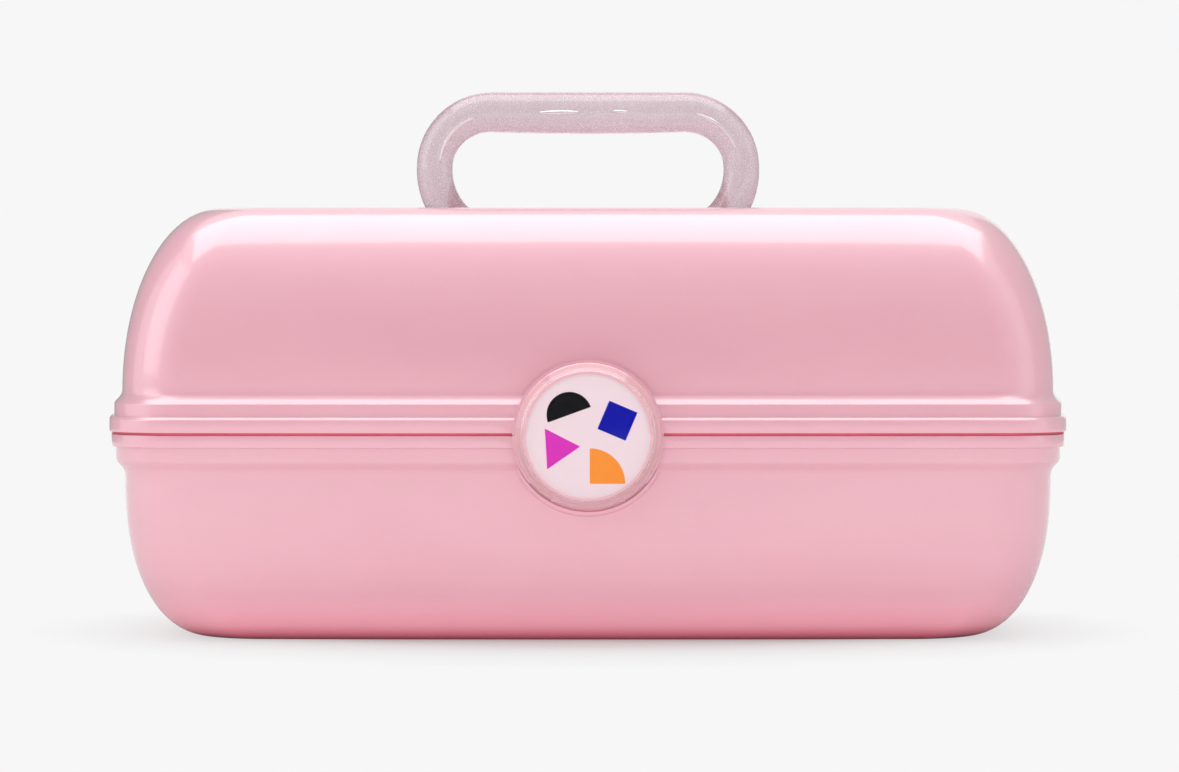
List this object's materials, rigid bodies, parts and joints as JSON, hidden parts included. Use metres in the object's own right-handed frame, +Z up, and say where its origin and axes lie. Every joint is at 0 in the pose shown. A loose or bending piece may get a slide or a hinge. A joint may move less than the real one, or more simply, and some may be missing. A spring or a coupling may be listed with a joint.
{
  "type": "makeup storage case",
  "caption": "Moulded vanity case: round-cornered base and hinged lid, fold-flat clear handle, round front latch, flip mirror in the lid and a self-lifting divided tray.",
  "frame": {"origin": "on the table under the middle of the closed case", "axes": "+X to the right as seen from the front, +Y to the back (hinges), +Z up; the latch faces -Y"},
  "size_m": [0.333, 0.1848, 0.1892],
  "materials": {
    "shell": "pearl satin",
    "tray": "satin",
    "disc": "printed pearl",
    "clear_cover": "clear",
    "clear_handle": "clear with glitter",
    "clear_divider": "clear",
    "mirror": "silvered",
    "steel": "bright"
  },
  "bodies": {
    "base": {"base_shell": "shell", "hinge_pin_left": "steel", "hinge_pin_right": "steel", "latch_pin": "steel", "arm_rivet_left": "steel", "arm_rivet_right": "steel"},
    "lid": {"lid_shell": "shell"},
    "latch": {"latch_body": "shell", "latch_disc": "disc", "latch_cover": "clear_cover"},
    "handle": {"handle": "clear_handle"},
    "mirror": {"mirror_frame": "shell", "mirror_glass": "mirror"},
    "tray": {"tray": "tray", "divider_1": "clear_divider", "divider_2": "clear_divider", "divider_3": "clear_divider", "divider_4": "clear_divider", "divider_5": "clear_divider", "tray_rear_rivet_left": "steel", "tray_rear_rivet_right": "steel", "tray_front_rivet_left": "steel", "tray_front_rivet_right": "steel"},
    "arm_left": {"arm_left": "tray"},
    "arm_right": {"arm_right": "tray"}
  },
  "joints": [
    {"name": "lid_hinge", "type": "hinge", "parent": "base", "child": "lid", "pos_m": [0, 0.0884, 0.071], "axis": [-1, 0, 0], "range_deg": [0, 100]},
    {"name": "tray_pivot", "type": "hinge", "parent": "lid", "child": "tray", "pos_m": [0, 0.0264, 0.079], "axis": [-1, 0, 0], "range_deg": [-100, 0]},
    {"name": "arm_left_pivot", "type": "hinge", "parent": "base", "child": "arm_left", "pos_m": [-0.148, 0.0444, 0.052], "axis": [-1, 0, 0], "range_deg": [0, 100]},
    {"name": "arm_right_pivot", "type": "hinge", "parent": "base", "child": "arm_right", "pos_m": [0.148, 0.0444, 0.052], "axis": [-1, 0, 0], "range_deg": [0, 100]},
    {"name": "latch_pivot", "type": "hinge", "parent": "base", "child": "latch", "pos_m": [0, -0.0822, 0.051], "axis": [1, 0, 0], "range_deg": [0, 38]},
    {"name": "handle_pivot", "type": "hinge", "parent": "lid", "child": "handle", "pos_m": [0, -0.006, 0.1417], "axis": [-1, 0, 0], "range_deg": [0, 90]},
    {"name": "mirror_pivot", "type": "hinge", "parent": "lid", "child": "mirror", "pos_m": [0, 0.028, 0.1285], "axis": [1, 0, 0], "range_deg": [0, 28]}
  ],
  "couplings": [
    {"joint": "tray_pivot", "follows": "lid_hinge", "ratio": -1},
    {"joint": "arm_left_pivot", "follows": "lid_hinge", "ratio": 1},
    {"joint": "arm_right_pivot", "follows": "lid_hinge", "ratio": 1}
  ]
}
